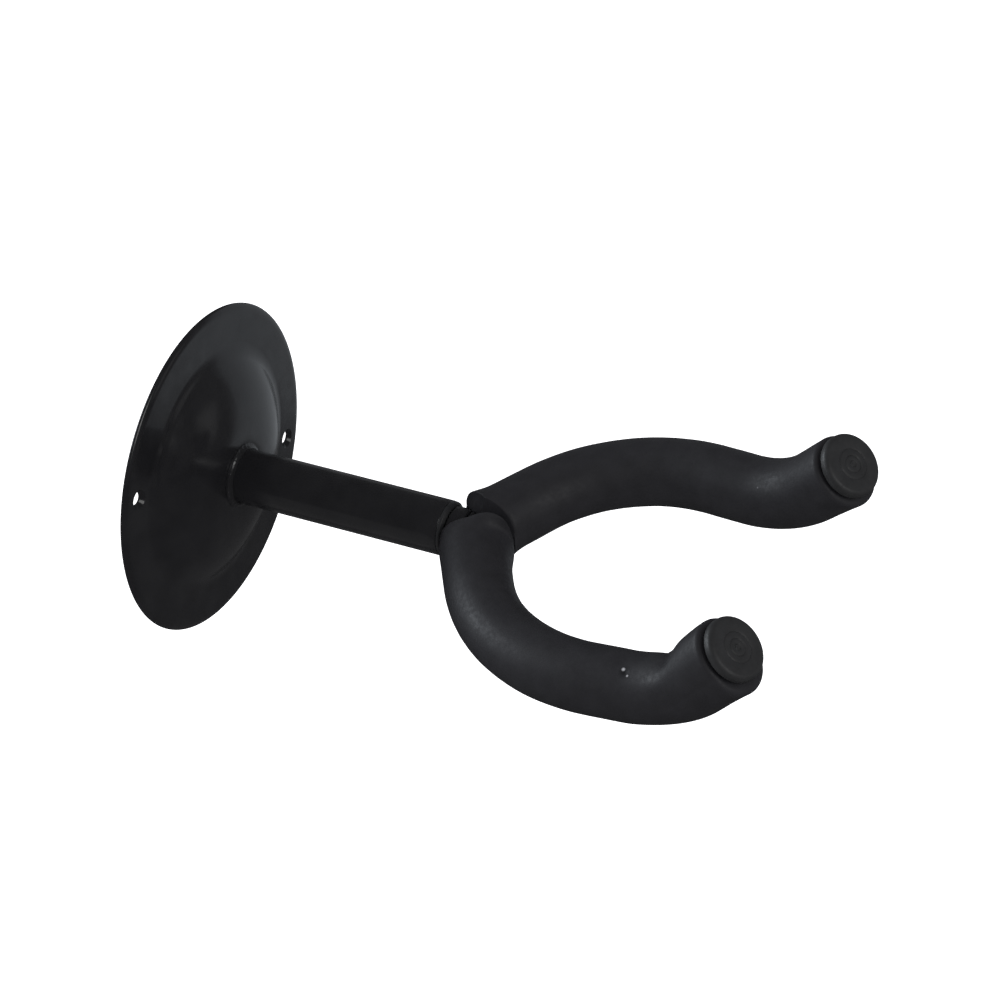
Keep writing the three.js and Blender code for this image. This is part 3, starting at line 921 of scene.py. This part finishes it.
def end_cap(side, label):
    """Round cap with a rounded edge, fine rings in its face and an undercut where it meets the foam."""
    socket = ROD_RADIUS + 0.1
    socket_floor = CAP_DEPTH - 2.2
    lip = 1.8
    neck = CAP_RADIUS - 1.3
    rounding = 1.5
    lip_rounding = 0.4
    dimple = 0.12
    outline = [
        (0, -CAP_CROWN + dimple),
        *ring_groove(0.9, 0.4),
        *ring_groove(2.45, 0.5),
        *ring_groove(4.4, 0.6),
        *arc((CAP_RADIUS - rounding, -CAP_CROWN + rounding), rounding, -pi / 2, 0, 8),
        *arc((CAP_RADIUS - lip_rounding, lip - lip_rounding), lip_rounding, 0, pi / 2, 4),
        (neck, lip + 0.2),
        (neck, CAP_DEPTH),
        (socket, CAP_DEPTH),
        (socket, socket_floor),
        (0, socket_floor),
    ]
    centre, inward, up = arm_section(ARM_SPAN, side)
    heading = inward.cross(up) * -side
    turn = Matrix((inward, heading, heading.cross(inward) * -1)).transposed().to_4x4()
    place = Matrix.Translation(centre) @ turn
    piece = turned(f"end_cap_{label}_plug", outline, 112, YOKE @ place)
    return fit(piece, MOVING, "cap_rubber", f"end_cap_{label}")


def ring_groove(radius, width):
    """A fine round groove in the cap's face."""
    depth = 0.14
    face = -CAP_CROWN
    steps = [-1, -0.6, 0, 0.6, 1]
    return [(radius + width * s / 2, face + depth * (0.5 + 0.5 * cos(pi * s))) for s in steps]


# ---- Studio ----

def camera():
    """The camera looks down the hanger from its left, a little above it."""
    aim = Vector((5.7, -90.0, 9.9)) * MM
    azimuth, elevation, roll = radians(-65.0), radians(17.24), radians(6.38)
    distance = 1.1
    back = Vector((sin(azimuth) * cos(elevation), -cos(azimuth) * cos(elevation), sin(elevation)))
    data = bpy.data.cameras.new("camera")
    data.sensor_width = 36
    data.lens = 141.9
    data.clip_start = 0.01
    data.clip_end = 100
    view = bpy.data.objects.new("camera", data)
    bpy.context.scene.collection.objects.link(view)
    view.location = aim + back * distance
    view.rotation_mode = "QUATERNION"
    view.rotation_quaternion = back.to_track_quat("Z", "Y") @ Quaternion((0, 0, 1), roll)
    bpy.context.scene.camera = view


def softbox(name, azimuth, elevation, distance, width, height, power, colour=(1, 1, 1)):
    """An area light aimed at the hanger. Azimuth 0 is straight out from the wall, 90 is to the right.
    Angles are in degrees, sizes in metres and power in watts."""
    middle = Vector((0, -0.09, 0))
    a, e = radians(azimuth), radians(elevation)
    back = Vector((sin(a) * cos(e), -cos(a) * cos(e), sin(e)))
    data = bpy.data.lights.new(name, "AREA")
    data.shape = "RECTANGLE"
    data.size = width
    data.size_y = height
    data.energy = power
    data.color = colour
    light = bpy.data.objects.new(name, data)
    bpy.context.scene.collection.objects.link(light)
    light.location = middle + back * distance
    light.rotation_mode = "QUATERNION"
    light.rotation_quaternion = back.to_track_quat("Z", "Y")
    light.visible_camera = False


def studio_world():
    """White to the camera, an even fill for matte surfaces, and a dim room for gloss to mirror."""
    fill_level = 0.75
    room_level = 0.065
    world = bpy.data.worlds.new("studio")
    bpy.context.scene.world = world
    world.use_nodes = True
    nodes = world.node_tree.nodes
    links = world.node_tree.links
    path = nodes.new("ShaderNodeLightPath")

    def background(level):
        node = nodes.new("ShaderNodeBackground")
        node.inputs["Color"].default_value = (level, level, level * 1.03, 1)
        return node.outputs["Background"]

    def choose(test, no, yes):
        node = nodes.new("ShaderNodeMixShader")
        links.new(test, node.inputs["Fac"])
        links.new(no, node.inputs[1])
        links.new(yes, node.inputs[2])
        return node.outputs["Shader"]

    seen_by_pieces = choose(path.outputs["Is Glossy Ray"], background(fill_level), background(room_level))
    shown = choose(path.outputs["Is Camera Ray"], seen_by_pieces, background(1.0))
    links.new(shown, nodes["World Output"].inputs["Surface"])


def floor():
    """A plain white floor far below the hanger, bright enough to hold no shadow."""
    size = 40.0
    level = -0.8
    mesh = bpy.data.meshes.new("floor")
    corners = [(-size, -size, level), (size, -size, level), (size, size, level), (-size, size, level)]
    mesh.from_pydata(corners, [], [(0, 1, 2, 3)])
    piece = bpy.data.objects.new("floor", mesh)
    bpy.context.scene.collection.objects.link(piece)
    material = bpy.data.materials.new("floor_white")
    material.use_nodes = True
    shader = material.node_tree.nodes["Principled BSDF"]
    shader.inputs["Base Color"].default_value = (0.9, 0.9, 0.9, 1)
    shader.inputs["Emission Color"].default_value = (1, 1, 1, 1)
    shader.inputs["Emission Strength"].default_value = 1.0
    mesh.materials.append(material)
    piece.visible_glossy = False
    piece.visible_diffuse = False


def lights():
    """A key from behind on the left, two large panels on the right, and panels for single highlights."""
    softbox("key", -165.5, 14, 1.3, 0.6, 0.6, 9.5, (0.88, 0.94, 1.0))
    softbox("back_wall", 81, 8, 1.6, 1.8, 1.45, 2.3, (0.86, 0.93, 1.0))
    softbox("far_wall", 138, 14, 1.6, 1.2, 0.9, 0.35, (0.9, 0.95, 1.0))
    softbox("side_panel", 26, 8, 1.5, 0.5, 0.5, 0.17)
    softbox("low_panel", -140, -50, 1.5, 1.2, 1.2, 0.4)
    softbox("left_panel", -26, 21, 1.5, 0.7, 0.6, 3.8)


camera()
studio_world()
lights()
floor()
bpy.context.scene.view_settings.view_transform = "Standard"

finishes = {
    make.__name__: make()
    for make in (gloss_black_paint, black_nylon, zinc_steel, white_nylon, charcoal_foam, cap_rubber)
}

wall_plate()
neck_tube()
plate_weld()
front_bush()
rear_bush()
wave_washer()
flat_washer()
lock_nut()
nut_insert()
swivel_spindle()
yoke_rod()
for side, label in ((1, "upper"), (-1, "lower")):
    saddle_weld(side, label)
for side, label in ((-1, "left"), (1, "right")):
    foam_sleeve(side, label)
    end_cap(side, label)
